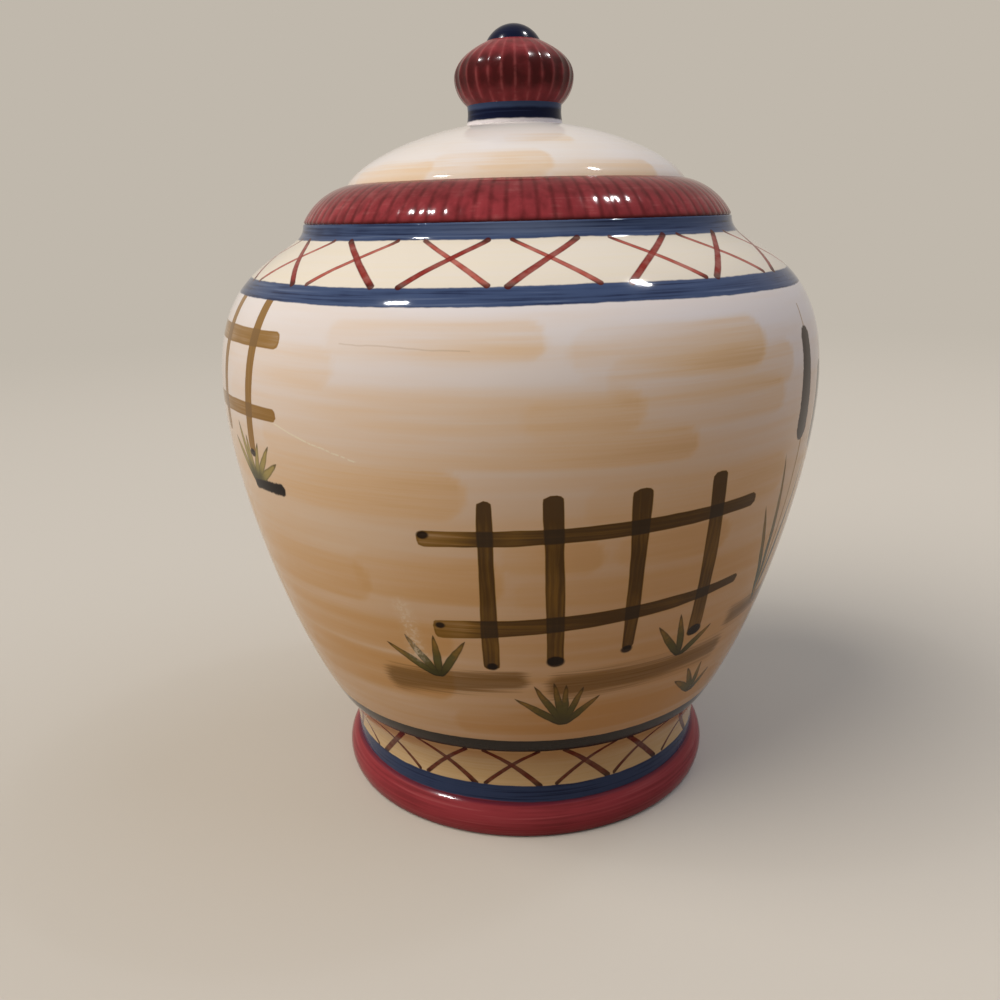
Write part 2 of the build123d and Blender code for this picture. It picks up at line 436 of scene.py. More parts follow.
def jar_outline():
    """The jar's outline in spans: recess, standing ring, foot, body, shoulder and inside."""
    recess = [(0, FOOT_RECESS), (FOOT_INNER, FOOT_RECESS), (FOOT_INNER, EDGE_ROUND)]
    stand = joined(arc(recess[-1], (FOOT_INNER + EDGE_ROUND, 0), 90, 4), [FOOT_STAND])
    rim_low = (RIM[0], RIM[1] - SEAM_ROUND)
    belly_below = (BELLY[0], BELLY[1] - FLANK_PULLS[1])
    belly_above = (BELLY[0], BELLY[1] + SHOULDER_PULLS[0])
    shoulder_below = pulled(SHOULDER, SHOULDER_LEAN, -SHOULDER_PULLS[1])
    outside = joined(
        arc(FOOT_STAND, FOOT_EDGE, FOOT_EDGE_TURN, 3),
        arc(FOOT_EDGE, FOOT_WIDE, turn_from_upright(FOOT_EDGE, FOOT_WIDE), 4),
        arc(FOOT_WIDE, CREASE, turn_from_upright(FOOT_WIDE, CREASE), 10),
        arc(CREASE, WAIST, turn_from_upright(CREASE, WAIST), 5),
        arc(WAIST, FLANK, -FLANK_LEAN, 8),
        curve(FLANK, pulled(FLANK, FLANK_LEAN, FLANK_PULLS[0]), belly_below, BELLY, 100),
        curve(BELLY, belly_above, shoulder_below, SHOULDER, 50),
        arc(SHOULDER, rim_low, SHOULDER_LEAN, 6),
        arc(rim_low, (RIM[0] - SEAM_ROUND, RIM[1]), 90, 3),
    )
    foot, rest = split(outside, sum(DARK_LINE) / 2)
    body, shoulder = split(rest, sum(STRIPE) / 2)
    in_shoulder = inward(SHOULDER, SHOULDER_LEAN, WALL)
    in_belly = (BELLY[0] - WALL, BELLY[1])
    in_flank = inward(FLANK, FLANK_LEAN, WALL)
    in_waist = (WAIST[0] - WALL, FLOOR_TOP + FLOOR_CORNER)
    in_above = (in_belly[0], belly_above[1])
    in_below = (in_belly[0], belly_below[1])
    inside = joined(
        [shoulder[-1]],
        arc((BORE + SEAM_ROUND, RIM[1]), (BORE, RIM[1] - SEAM_ROUND), 90, 3),
        [(BORE, BORE_LOW)],
        curve(in_shoulder, pulled(in_shoulder, SHOULDER_LEAN, -SHOULDER_PULLS[1]), in_above, in_belly, 14),
        curve(in_belly, in_below, pulled(in_flank, FLANK_LEAN, FLANK_PULLS[0]), in_flank, 18),
        arc(in_flank, in_waist, FLANK_LEAN, 5),
        arc(in_waist, (in_waist[0] - FLOOR_CORNER, FLOOR_TOP), -90, 6),
        [(0, FLOOR_TOP)],
    )
    return recess, stand, foot, body, shoulder, inside


def lid_outline():
    """The lid's outline in spans: dome, fluted ring and underside."""
    top_handle = pulled(DOME_TOP, DOME_LEANS[1], -DOME_PULLS[1])
    edge_handle = pulled(RING_EDGE, DOME_LEANS[0], DOME_PULLS[0])
    dome = joined([(0, DOME_TOP[1])], curve(DOME_TOP, top_handle, edge_handle, RING_EDGE, 30))
    ring = joined(arc(RING_EDGE, RING_LOW, -RING_TURN, 14), arc(RING_LOW, SEAT, -SEAT_TURN, 4))
    in_edge = inward(RING_EDGE, DOME_LEANS[0], LID_WALL)
    in_top = (DOME_TOP[0], DOME_TOP[1] - LID_WALL)
    in_top_handle = pulled(in_top, DOME_LEANS[1], -DOME_PULLS[1])
    in_edge_handle = pulled(in_edge, DOME_LEANS[0], DOME_PULLS[0])
    low, high = GROOVE_HEIGHTS
    under = joined(
        [SEAT, (FLANGE, SEAT[1]), (FLANGE, high), (GROOVE, high), (GROOVE, low), (FLANGE, low)],
        arc((FLANGE, FLANGE_LOW + EDGE_ROUND), (FLANGE - EDGE_ROUND, FLANGE_LOW), -90, 4),
        arc((FLANGE_BORE + EDGE_ROUND, FLANGE_LOW), (FLANGE_BORE, FLANGE_LOW + EDGE_ROUND), -90, 4),
        [(FLANGE_BORE, UNDER_RING)],
        curve(in_edge, in_edge_handle, in_top_handle, in_top, 14),
        [(0, in_top[1])],
    )
    return dome, ring, under


def knob_outline():
    """The knob's outline in spans: collar, bulb and bead."""
    collar = joined([(0, DOME_TOP[1])], curve(DOME_TOP, COLLAR_WAIST, COLLAR_WAIST, COLLAR_TOP, 8))
    bulb_handle = pulled(BULB_TOP, BULB_LEAN, -BULB_PULLS[1])
    bulb = joined(
        arc(COLLAR_TOP, BULB_WIDE, turn_from_upright(COLLAR_TOP, BULB_WIDE), 14),
        curve(BULB_WIDE, (BULB_WIDE[0], BULB_WIDE[1] + BULB_PULLS[0]), bulb_handle, BULB_TOP, 20),
    )
    bead_turn = degrees(2 * atan2(BEAD_TOP[1] - BULB_TOP[1], BULB_TOP[0]))
    return collar, bulb, arc(BULB_TOP, BEAD_TOP, bead_turn, 14)


def seal_outline():
    """The seal's outline: a band with two soft lips."""
    low, high = SEAL_HEIGHTS
    outline = [(SEAL_INNER, low), (FLANGE, low)]
    for lip in SEAL_LIPS:
        under, over = lip - SEAL_LIP_ROUND, lip + SEAL_LIP_ROUND
        tip = arc((SEAL_LIP_ROOT, under), (SEAL_LIP_ROOT, over), SEAL_LIP_TURN, 6)
        outline = joined(outline, [(FLANGE, under)], tip, [(FLANGE, over)])
    return (joined(outline, [(FLANGE, high), (SEAL_INNER, high), (SEAL_INNER, low)]),)


def spot(angle, height, radius=BODY_RADIUS):
    """The place on a flat wall at an angle in degrees from the front and a height."""
    return Vector((radians(angle) * radius, height))


def smooth(values, start, end):
    """0 up to start, 1 from end on, with a smooth rise between."""
    share = np.clip((values - start) / (end - start), 0, 1)
    return share * share * (3 - 2 * share)


def vertex_places(mesh):
    """The mesh's vertices as three arrays, in millimetres."""
    places = np.empty(len(mesh.vertices) * 3, np.float32)
    mesh.vertices.foreach_get("co", places)
    return places.reshape(-1, 3).T / MM


def off_stroke(u, v, start, end, half, half_end):
    """How far each place lies outside a stroke that tapers from half to half_end."""
    run = end - start
    along = np.clip(((u - start.x) * run.x + (v - start.y) * run.y) / run.length_squared, 0, 1)
    away = np.hypot(u - start.x - along * run.x, v - start.y - along * run.y)
    return away - half - (half_end - half) * along


def off_flat_stroke(u, v, start, end, half, half_end):
    """How far each place lies outside a stroke of a flat brush, whose ends are blunt with small corners."""
    corner = 1.5
    overrun = 0.8
    run = end - start
    ahead = run.normalized()
    along = (u - start.x) * ahead.x + (v - start.y) * ahead.y
    aside = np.abs((v - start.y) * ahead.x - (u - start.x) * ahead.y)
    wide = half + (half_end - half) * np.clip(along / run.length, 0, 1)
    past_side = aside - wide + corner
    past_end = np.abs(along - run.length / 2) - run.length / 2 - overrun * wide + corner
    outside = np.hypot(np.maximum(past_side, 0), np.maximum(past_end, 0))
    return outside + np.minimum(np.maximum(past_side, past_end), 0) - corner


def wash_paint(u, v, washes, radius):
    """How much wash lies at each place: soft strokes, on which the paint gathers to the right."""
    soft_edge = (0.9, -1.0)
    thinnest = 0.4
    total = np.zeros_like(u)
    for first, last, height, half, strength in washes:
        start, end = spot(first, height, radius), spot(last, height, radius)
        edge = off_stroke(u, v, start, end, half, half)
        gathered = thinnest + (1 - thinnest) * smooth(u, start.x - half, end.x)
        total += strength * smooth(edge, *soft_edge) * gathered
    return total


def keep_layer(mesh, name, values):
    """Keeps a layer of the painting on the mesh."""
    mesh.attributes.new(name, "FLOAT", "POINT").data.foreach_set("value", values.astype(np.float32))


def lay_out_body(mesh):
    """Lays the broad strokes out on the jar, with those of the front mirrored to the back."""
    x, y, v = vertex_places(mesh)
    u = np.arctan2(x, np.abs(y)) * BODY_RADIUS
    keep_layer(mesh, "wash", wash_paint(u, v, WASHES, BODY_RADIUS))
    smears = [off_stroke(u, v, spot(*a), spot(*b), half, SMEAR_TAPER * half) for a, b, half in SMEARS]
    keep_layer(mesh, "ground", np.min(smears, axis=0))
    for name, strokes in (("rails", RAILS), ("posts", POSTS)):
        edges = [off_flat_stroke(u, v, spot(*a), spot(*b), half, tail) for a, b, half, tail in strokes]
        keep_layer(mesh, name, np.min(edges, axis=0))
    heads = [off_stroke(u, v, spot(*a), spot(*b), half, HEAD_TAPER * half) for _, _, a, b, half in REEDS]
    keep_layer(mesh, "heads", np.min(heads, axis=0))


def lay_out_dome(mesh):
    """Lays the washes out on the lid's dome."""
    x, y, _ = vertex_places(mesh)
    u = np.arctan2(x, -y) * DOME_RADIUS
    keep_layer(mesh, "wash", wash_paint(u, RING_EDGE[0] - np.hypot(x, y), DOME_WASHES, DOME_RADIUS))


class Wire:
    """A value in a tree of nodes: arithmetic on it adds Math nodes."""

    def __init__(self, nodes, socket):
        self.nodes = nodes
        self.socket = socket

    def also(self, output):
        """Another output of the same node."""
        return Wire(self.nodes, self.socket.node.outputs[output])

    def maths(self, operation, first, second=0.0):
        return self.nodes.node("ShaderNodeMath", {0: first, 1: second}, operation=operation)

    def __add__(self, other):
        return self.maths("ADD", self, other)

    def __radd__(self, other):
        return self.maths("ADD", other, self)

    def __sub__(self, other):
        return self.maths("SUBTRACT", self, other)

    def __rsub__(self, other):
        return self.maths("SUBTRACT", other, self)

    def __mul__(self, other):
        return self.maths("MULTIPLY", self, other)

    def __rmul__(self, other):
        return self.maths("MULTIPLY", other, self)

    def __truediv__(self, other):
        return self.maths("DIVIDE", self, other)

    def __abs__(self):
        return self.maths("ABSOLUTE", self)


class Nodes:
    """A tree of nodes."""

    def __init__(self, tree):
        self.tree = tree

    def node(self, kind, inputs=None, output=0, stops=None, **settings):
        """Adds a node: its settings first, with a ramp's stops, then the values or links of its sockets."""
        made = self.tree.nodes.new(kind)
        for key, value in settings.items():
            setattr(made, key, value)
        if stops:
            made.color_ramp.interpolation = "CONSTANT"
            made.color_ramp.elements.remove(made.color_ramp.elements[1])
            for place, value in stops[1:]:
                made.color_ramp.elements.new(place).color = value
            made.color_ramp.elements[0].color = stops[0][1]
        for key, value in (inputs or {}).items():
            self.feed(made.inputs[key], value)
        return Wire(self, made.outputs[output])

    def feed(self, socket, value):
        """Sets a socket to a value, or links it."""
        if isinstance(value, Wire):
            self.tree.links.new(value.socket, socket)
        else:
            socket.default_value = value

    def vector(self, operation, first, second, output=0):
        return self.node("ShaderNodeVectorMath", {0: first, 1: second}, output, operation=operation)

    def noise(self, at, scale, detail=2.0, output="Fac"):
        return self.node("ShaderNodeTexNoise", {"Vector": at, "Scale": scale, "Detail": detail}, output)

    def fade(self, value, start, end):
        """0 up to start, 1 from end on, with a smooth rise between."""
        inputs = {"Value": value, "From Min": start, "From Max": end}
        return self.node("ShaderNodeMapRange", inputs, interpolation_type="SMOOTHSTEP")

    def mix(self, under, over, amount):
        """One colour laid over another."""
        return self.node("ShaderNodeMix", {0: amount, 6: under, 7: over}, 2, data_type="RGBA")

    def layer(self, name):
        """A layer of the painting that the mesh keeps."""
        return self.node("ShaderNodeAttribute", output="Fac", attribute_name=name)

    def places(self):
        """Places on the object, in metres."""
        return self.node("ShaderNodeTexCoord", output="Object")

    def off_axis(self, point):
        """How far each point lies from the upright axis, in millimetres."""
        across = self.vector("MULTIPLY", point, (1 / MM, 1 / MM, 0))
        return self.vector("LENGTH", across, (0, 0, 0), "Value")


class Glaze(Nodes):
    """A finish."""

    def __init__(self, name):
        self.material = bpy.data.materials.new(name)
        self.material.use_nodes = True
        super().__init__(self.material.node_tree)
        self.surface = self.tree.nodes["Principled BSDF"]

    def finish(self, tone, rough, height, depth):
        """Feeds the surface: its colour, its roughness and the depth of its unevenness."""
        bump = self.node("ShaderNodeBump", {"Strength": BUMP_SHARE, "Distance": depth, "Height": height})
        self.feed(self.surface.inputs["Base Color"], tone)
        self.feed(self.surface.inputs["Roughness"], rough)
        self.feed(self.surface.inputs["Normal"], bump)
        return self

    def fired(self, tone, point, smoothest=GLAZE_ROUGH):
        """Covers the painting with the fired gloss, which is a little uneven."""
        self.feed(self.surface.inputs["Specular IOR Level"], SPECULAR)
        ripple = self.noise(point, 55.0, 1.0) + 0.2 * self.noise(point, 420.0, 2.0)
        rough = smoothest + ROUGH_SPREAD * self.noise(point, 140.0, 3.0)
        return self.finish(tone, rough, ripple, GLAZE_RIPPLE)


class Wall:
    """The wall of a piece: the angle round from the front, the height in millimetres, and the grain."""

    def __init__(self, glaze, mirrored=False):
        self.glaze = glaze
        self.point = glaze.places()
        x = glaze.node("ShaderNodeSeparateXYZ", {0: self.point}, "X")
        y = x.also("Y")
        self.angle = x.maths("ARCTAN2", x, abs(y) if mirrored else 0 - y)
        self.up = x.also("Z") * (1 / MM)
        self.grain = self.streaks(BRISTLES)
        # Bands are turned on a wheel, so they waver slowly
        slow = glaze.noise(self.point, 14.0, 1.0) - 0.5
        fine = glaze.noise(self.point, 260.0, 2.0) - 0.5
        self.band_up = self.up + 2.0 * slow + 0.4 * fine

    def laid_flat(self, angle, away, rise, shake):
        """Places on the wall laid out flat, in millimetres round and up, with the shake of a hand."""
        g = self.glaze
        waver = g.vector("SUBTRACT", g.noise(self.point, 90.0, 3.0, "Color"), (0.5, 0.5, 0.5))
        waver = g.vector("MULTIPLY", waver, (shake, shake, 0))
        return g.vector("ADD", g.node("ShaderNodeCombineXYZ", {0: angle * away, 1: rise}), waver)

    def streaks(self, stretch, at=None):
        """Bristle marks, drawn out along the direction with the smallest stretch."""
        return self.glaze.noise(self.glaze.vector("MULTIPLY", at or self.point, stretch), 1.0, 3.0)

    def stroke(self, flat, start, end, half, half_end):
        """How far each place on a flat wall lies outside a stroke that tapers from half to half_end."""
        g = self.glaze
        run = end - start
        slope = run / run.length_squared
        offset = g.vector("SUBTRACT", flat, (*start, 0))
        along = g.node("ShaderNodeClamp", {0: g.vector("DOT_PRODUCT", offset, (*slope, 0), "Value")})
        nearest = g.node("ShaderNodeVectorMath", {0: (*run, 0), "Scale": along}, operation="SCALE")
        away = g.vector("DISTANCE", offset, nearest, "Value")
        return away - (half + (half_end - half) * along)

    def band(self, low, high, soft=0.18):
        """1 between two heights, with the edges of a turned band."""
        g = self.glaze
        return g.fade(self.band_up, low - soft, low + soft) * g.fade(self.band_up, high + soft, high - soft)

    def turned_paint(self, thin, middle, deep, streaky=1.0):
        """The colour of a band painted on the wheel, with its bristle lines."""
        g = self.glaze
        pooled = g.noise(self.point, 60.0, 3.0)
        tone = g.mix(thin, middle, 1 - streaky * g.fade(self.grain, 0.48, 0.24))
        return g.mix(tone, deep, streaky * g.fade(self.grain + 0.5 * pooled, 0.72, 1.02))

    def crosses(self, tone, row, offset, halves, reach, paints):
        """Paints a row of crosses: a pale stroke, then a dark one, each darker at its edges and its ends."""
        g = self.glaze
        # The wall leans, so it is laid out along its slope and at its true radius
        low, high = Vector(row[0]), Vector(row[1])
        length = (high - low).length
        slope = (high - low).normalized()
        away = g.off_axis(self.point)
        rise = slope.y * (self.up - low.y) + slope.x * (away - low.x)
        step = 2 * pi / CROSSES
        turns = (self.angle - radians(offset)) * (1 / step)
        nearest = turns.maths("FLOOR", turns + 0.5)
        # The cross at the back, where the angle starts again, has one number on both sides
        number = nearest + CROSSES * turns.maths("LESS_THAN", nearest, 0.5 - CROSSES / 2)
        jog = g.node("ShaderNodeTexWhiteNoise", {"W": number}, "Value", noise_dimensions="1D") - 0.5
        # Left of the front the painter changed hands, so those crosses are mirrored
        hand = turns.maths("SIGN", number + 1.5)
        angle = hand * ((turns - nearest) * step + radians(2.5) * jog)
        flat = self.laid_flat(angle, away, rise, CROSS_SHAKE)
        pale_ends = (spot(-0.9 * reach, length, high.x), spot(1.15 * reach, 0.4, low.x))
        dark_ends = (spot(-reach, 0, low.x), spot(reach, length, high.x))
        pale = self.stroke(flat, *pale_ends, *halves[:2])
        dark = self.stroke(flat, *dark_ends, *halves[2:])
        brushed = g.noise(self.point, 300.0, 3.0)
        ends = g.fade(abs(rise - length / 2), length / 2 - 2.2, length / 2 - 0.2)
        for edge, paint in zip((pale, dark), paints):
            rim = g.fade(edge, -0.5, -0.05) * g.fade(brushed, 0.2, 0.6)
            shade = g.mix(g.mix(paint, CROSS_DEEP, 0.5 * rim), POOL, 0.7 * ends)
            tone = g.mix(tone, shade, g.fade(edge, 0.2, -0.12) * (0.76 + 0.4 * brushed))
        return tone


class Belly(Wall):
    """The wall of the jar's belly laid out flat, with what the layers of its painting share."""

    def __init__(self, glaze):
        super().__init__(glaze, mirrored=True)
        self.flat = self.laid_flat(self.angle, BODY_RADIUS, self.up, BODY_SHAKE)
        self.lateral = self.angle * BODY_RADIUS
        self.leftmost = glaze.fade(self.lateral, *LEFT_END)
        self.fine = glaze.noise(self.point, 900.0, 2.0)
        self.unsteady = glaze.noise(self.point, 55.0, 2.0)
        self.shake = 1.1 * (self.unsteady - 0.5)
        self.upright_grain = self.streaks(UPRIGHT_BRISTLES, self.flat)

    def line(self, ends, half, half_end):
        """How far each place lies outside a stroke between two ends, given as (angle, height)."""
        return self.stroke(self.flat, spot(*ends[0]), spot(*ends[1]), half, half_end)

    def tuft(self, root, tips, plump):
        """How far each place lies outside a tuft of pointed blades, and how far along its blade."""
        g = self.glaze
        base = spot(*root)
        runs = sorted((spot(*tip) - base for tip in tips), key=lambda run: atan2(run.x, run.y))
        leans = [atan2(run.x, run.y) for run in runs]
        # A ramp tells each place, by its own lean, how its nearest blade leans and how long that is
        edges = [-pi / 2] + [(a + b) / 2 for a, b in zip(leans, leans[1:])]
        blades = [(lean / pi + 0.5, run.length / FAR, 0, 1) for lean, run in zip(leans, runs)]
        stops = [(edge / pi + 0.5, blade) for edge, blade in zip(edges, blades)]
        offset = g.vector("SUBTRACT", self.flat, (*base, 0))
        x = g.node("ShaderNodeSeparateXYZ", {0: offset}, "X")
        lean = x.maths("ARCTAN2", x, x.also("Y")) * (1 / pi) + 0.5
        nearest = g.node("ShaderNodeValToRGB", {0: lean}, "Color", stops)
        blade = g.node("ShaderNodeSeparateColor", {0: nearest}, "Red")
        reach = g.vector("LENGTH", offset, (0, 0, 0), "Value")
        along = reach / (FAR * blade.also("Green"))
        aside = abs(reach * x.maths("SINE", (lean - blade) * pi))
        swell = x.maths("SQRT", along * (1 - along))
        # Below the root there are no blades
        below = 3.0 * g.fade(x.also("Y"), 0.2, -0.8)
        return aside - 2 * plump * (swell * (1.15 - 0.5 * along)) + 0.2 + below, along

    def washes(self):
        """The bare glaze under warm washes, which lie thicker low down, with painted shade over the right
        half and warm painted shade towards the bottom.
        """
        g = self.glaze
        broad = self.streaks(BROAD_BRISTLES)
        wash = 0.16 + 0.36 * g.fade(self.up, *WASH_GATHERS) + 1.1 * (broad - 0.5)
        wash = wash + g.layer("wash") * (0.5 + 0.7 * self.grain)
        # Painted shade over the right half at mid height, laid in as more wash
        wash = wash + 0.24 * g.fade(self.lateral, *RIGHT_SHADE_SPAN) * g.fade(self.up, *RIGHT_SHADE_HEIGHTS)
        stain = g.mix(PEACH, TAN, g.fade(self.up, *STAIN_DEEPENS))
        # Where strokes overlap, the stain is darker
        stain = g.mix(stain, TAN, 0.4 * g.fade(wash, 0.9, 1.5))
        ground = g.mix(BARE, BLUSH, g.fade(self.up, *GROUND_BLUSHES))
        tone = g.mix(ground, CREAM, 0.35 * g.noise(self.point, 22.0, 2.0))
        tone = g.mix(tone, stain, g.fade(wash, 0.0, 1.2))
        # Warm painted shade towards the bottom, in ochre
        return g.mix(tone, OCHRE_SHADE, 0.14 * g.fade(self.up, *OCHRE_SHADE_HEIGHTS))

    def smears(self, tone):
        """Paints the ground under the fence, in smears that are ragged along the grain."""
        g = self.glaze
        ragged = g.layer("ground") + 6.5 * (self.grain - 0.5)
        return g.mix(tone, BROWN_WASH, g.fade(ragged, 1.4, -2.6) * (0.6 + 0.5 * self.grain))

    def fence(self, tone):
        """Paints the rails and posts, which are darker where they cross and paler at the left."""
        g = self.glaze
        # The rails are dry in one place and fuller to the right, and the posts are fuller at the top
        dry = 0.7 + 0.3 * g.fade(abs(self.lateral - RAILS_DRY) + 8.0 * (self.grain - 0.5), 4.0, 12.0)
        dry = dry + 0.22 * g.fade(self.lateral, *RAILS_LOADED) + 0.15 * self.leftmost
        loaded = 1 + 0.3 * g.fade(self.up, *POSTS_LOADED)
        paint = 0.0
        for name, bristles, load in (("rails", self.grain, dry), ("posts", self.upright_grain, loaded)):
            edge = g.layer(name) + self.shake
            body = 0.42 + 0.5 * bristles + 0.12 * g.fade(edge, -0.8, -0.1)
            paint = paint + g.fade(edge, 0.25, -0.3) * body * load
        paint = paint * (1 - 0.36 * self.leftmost) * (0.65 + 0.6 * self.unsteady)
        wood = g.mix(FENCE_THIN, FENCE, g.fade(paint, 0.3, 0.8))
        wood = g.mix(wood, FENCE_DEEP, g.fade(paint, 0.85, 1.5))
        wood = g.mix(wood, STEM_GOLD, 0.5 * self.leftmost)
        return g.mix(tone, wood, 0.96 * g.fade(paint, 0.02, 0.5))

    def grass(self, tone):
        """Paints the tufts, of which the one at the left is paler and has a dark stroke at its root."""
        g = self.glaze
        for root, *tips in TUFTS:
            edge, along = self.tuft(root, tips, 1.7)
            blade = g.mix(GRASS, GRASS_TIP, g.fade(along + 0.5 * (self.fine - 0.5), 0.4, 0.9))
            rim = g.fade(edge, -0.75, -0.05) * (0.35 + 0.4 * self.upright_grain)
            blade = g.mix(blade, GRASS_PALE, 0.75 * self.leftmost * g.fade(along, 0.2, 0.55))
            blade = g.mix(blade, GRASS_DARK, rim + 0.6 * g.fade(along, 0.4, 0.1))
            blade = g.mix(blade, POOL, 0.6 * g.fade(along, 0.84, 0.93))
            tone = g.mix(tone, blade, 0.94 * g.fade(edge, 0.15, -0.2))
        root = self.line(ROOT_STROKE, 1.5, 1.9)
        return g.mix(tone, POOL, g.fade(root + 0.7 * (self.fine - 0.5), 0.3, -0.4))

    def reeds(self, tone):
        """Paints the leaves, stems and heads of the reeds."""
        g = self.glaze
        for root, *tips in REED_LEAVES:
            edge, along = self.tuft(root, tips, 1.5)
            blade = g.mix(GRASS, GRASS_TIP, g.fade(along, 0.3, 0.9))
            blade = g.mix(blade, GRASS_DARK, 0.6 * g.fade(edge, -0.7, 0.0))
            tone = g.mix(tone, blade, g.fade(edge, 0.15, -0.2))
        for foot, top, *_ in REEDS:
            stem = self.line((foot, top), 0.9, 0.35)
            tone = g.mix(tone, STEM_GOLD, g.fade(stem, 0.2, -0.25) * (0.5 + 0.6 * self.upright_grain))
        head = g.layer("heads") + self.shake + 0.8 * (self.fine - 0.5)
        return g.mix(tone, HEAD_BROWN, g.fade(head, 0.3, -0.3))

    def pools(self, tone):
        """Paints the dark pools at the ends of the fence's strokes."""
        g = self.glaze
        pooled = 0.0
        squeezed = g.vector("MULTIPLY", self.flat, (*POOL_SPREAD, 0))
        for angle, height, radius in POOLS:
            away = g.vector("DISTANCE", squeezed, (*(spot(angle, height) * POOL_SPREAD), 0), "Value")
            pooled = pooled + g.fade(away, radius + POOL_SOFT, radius - POOL_SOFT)
        return g.mix(tone, POOL, 0.94 * pooled)

    def marks(self, tone):
        """Adds the marks of use, and a painted glint on the scuff."""
        g = self.glaze
        hairline = self.line(HAIRLINE, 0.08, 0.08)
        tone = g.mix(tone, FENCE_THIN, 0.2 * g.fade(hairline, 0.2, 0.0))
        scratch = self.line(SCRATCH, 0.14, 0.1)
        tone = g.mix(tone, CREAM, g.fade(scratch, 0.22, 0.0) * g.fade(self.fine, 0.3, 0.5))
        # The scuff carries a painted glint: pale specks in a soft patch
        scuff_glint = self.line(SCUFF_GLINT, 1.2, 2.4)
        specks = g.fade(self.fine + 0.5 * (self.upright_grain - 0.5), 0.44, 0.64)
        return g.mix(tone, CREAM, g.fade(scuff_glint, 2.8, -2.6) * (0.18 + 0.4 * specks))


def body_glaze():
    """The belly: washes, ground, fence, grass and reeds, all painted by hand, between two turned lines."""
    g = Glaze("body_glaze")
    wall = Belly(g)
    tone = wall.washes()
    for painted in (wall.smears, wall.fence, wall.grass, wall.reeds, wall.pools, wall.marks):
        tone = painted(tone)
    tone = g.mix(tone, wall.turned_paint(BLUE_THIN, BLUE, BLUE_DEEP), wall.band(STRIPE[0], FAR))
    tone = g.mix(tone, LINE_DARK, LINE_COVER * wall.band(-FAR, DARK_LINE[1]))
    return g.fired(tone, wall.point)


def shoulder_glaze():
    """The shoulder: the blue stripe, crosses on cream, and the blue neck, with painted sheen at its front.
    """
    g = Glaze("shoulder_glaze")
    wall = Wall(g)
    tone = g.mix(BARE, CREAM, 0.55 + 0.5 * wall.grain)
    blue = wall.turned_paint(BLUE_THIN, BLUE, BLUE_DEEP)
    tone = g.mix(tone, blue, wall.band(-FAR, STRIPE[1]))
    # At the front of the neck a paler blue, streaked along the grain, is painted sheen
    thin = g.fade(abs(wall.angle) + 0.5 * wall.grain, 0.75, 0.25) * g.fade(wall.up, *NECK_SHEEN)
    tone = g.mix(tone, g.mix(blue, BLUE_THIN, 0.7 * thin), wall.band(NECK_BLUE_LOW, FAR))
    paints = (CROSS_THIN, CROSS_RED)
    tone = wall.crosses(tone, SHOULDER_ROW, SHOULDER_TURN, SHOULDER_HALVES, SHOULDER_REACH, paints)
    return g.fired(tone, wall.point)


def foot_glaze():
    """The foot: a red roll, a blue line, crosses on tan, and the dark line above them."""
    g = Glaze("foot_glaze")
    wall = Wall(g)
    tone = g.mix(BAND_TAN, CREAM, 0.4 * wall.grain)
    paints = (CROSS_BROWN, CROSS_BROWN)
    tone = wall.crosses(tone, FOOT_ROW, FOOT_TURN, FOOT_HALVES, FOOT_REACH, paints)
    tone = g.mix(tone, LINE_DARK, LINE_COVER * wall.band(DARK_LINE[0], FAR))
    # The blue line is deep navy, darkened toward blue-black partly as painted shade
    blue = g.mix(wall.turned_paint(BLUE, BLUE, BLUE_DEEP), BLUE_BLACK, 0.5)
    tone = g.mix(tone, blue, wall.band(-FAR, FOOT_BLUE_TOP))
    roll = g.mix(wall.turned_paint(RED_THIN, RED, RED_DEEP, 0.4), RED_DEEP, 0.25)
    tone = g.mix(tone, roll, wall.band(-FAR, FOOT_RED_TOP, 0.3))
    # A crease, in which the paint lies dark, parts the roll from the blue line
    crease = g.fade(abs(wall.up - CREASE[1]), 0.8, 0.1)
    return g.fired(g.mix(tone, BLUE_BLACK, 0.5 * crease), wall.point, FOOT_ROUGH)


def plain_glaze():
    """The cream glaze inside the jar and under the lid, with a few iron specks."""
    g = Glaze("inner_glaze")
    point = g.places()
    tone = g.mix(BARE, CREAM, g.noise(point, 18.0, 3.0))
    specks = g.node("ShaderNodeTexVoronoi", {"Vector": point, "Scale": 90.0}, "Distance")
    tone = g.mix(tone, FENCE_THIN, 0.4 * g.fade(specks, 0.07, 0.05))
    return g.fired(tone, point, INNER_ROUGH)


def bare_clay():
    """The ring that the jar stands on, wiped clean of glaze."""
    g = Glaze("bare_clay")
    point = g.places()
    pits = g.noise(point, 900.0, 4.0)
    tone = g.mix(CLAY, TAN, 0.5 * g.noise(point, 60.0, 4.0))
    tone = g.mix(tone, BROWN_WASH, g.fade(pits, 0.6, 0.75))
    return g.finish(tone, 0.7 + 0.2 * pits, pits, CLAY_PITS)


def dome_glaze():
    """The dome: cream with soft peach washes."""
    g = Glaze("dome_glaze")
    point = g.places()
    inwards = RING_EDGE[0] - g.off_axis(point)
    cloud = g.noise(point, 40.0, 2.0)
    rings = g.noise(g.node("ShaderNodeCombineXYZ", {0: 0.9 * inwards, 1: 3.0 * cloud}), 1.0, 3.0)
    wash = 0.16 + 0.5 * (rings - 0.5) + 0.6 * (cloud - 0.5) + 0.25 * g.fade(inwards, 4.0, 0.0)
    wash = wash + g.layer("wash") * (0.4 + 0.6 * rings)
    tone = g.mix(BARE, CREAM, 0.6 * g.noise(point, 24.0, 2.0))
    return g.fired(g.mix(tone, PEACH, 0.85 * g.fade(wash, 0.0, 1.1)), point)


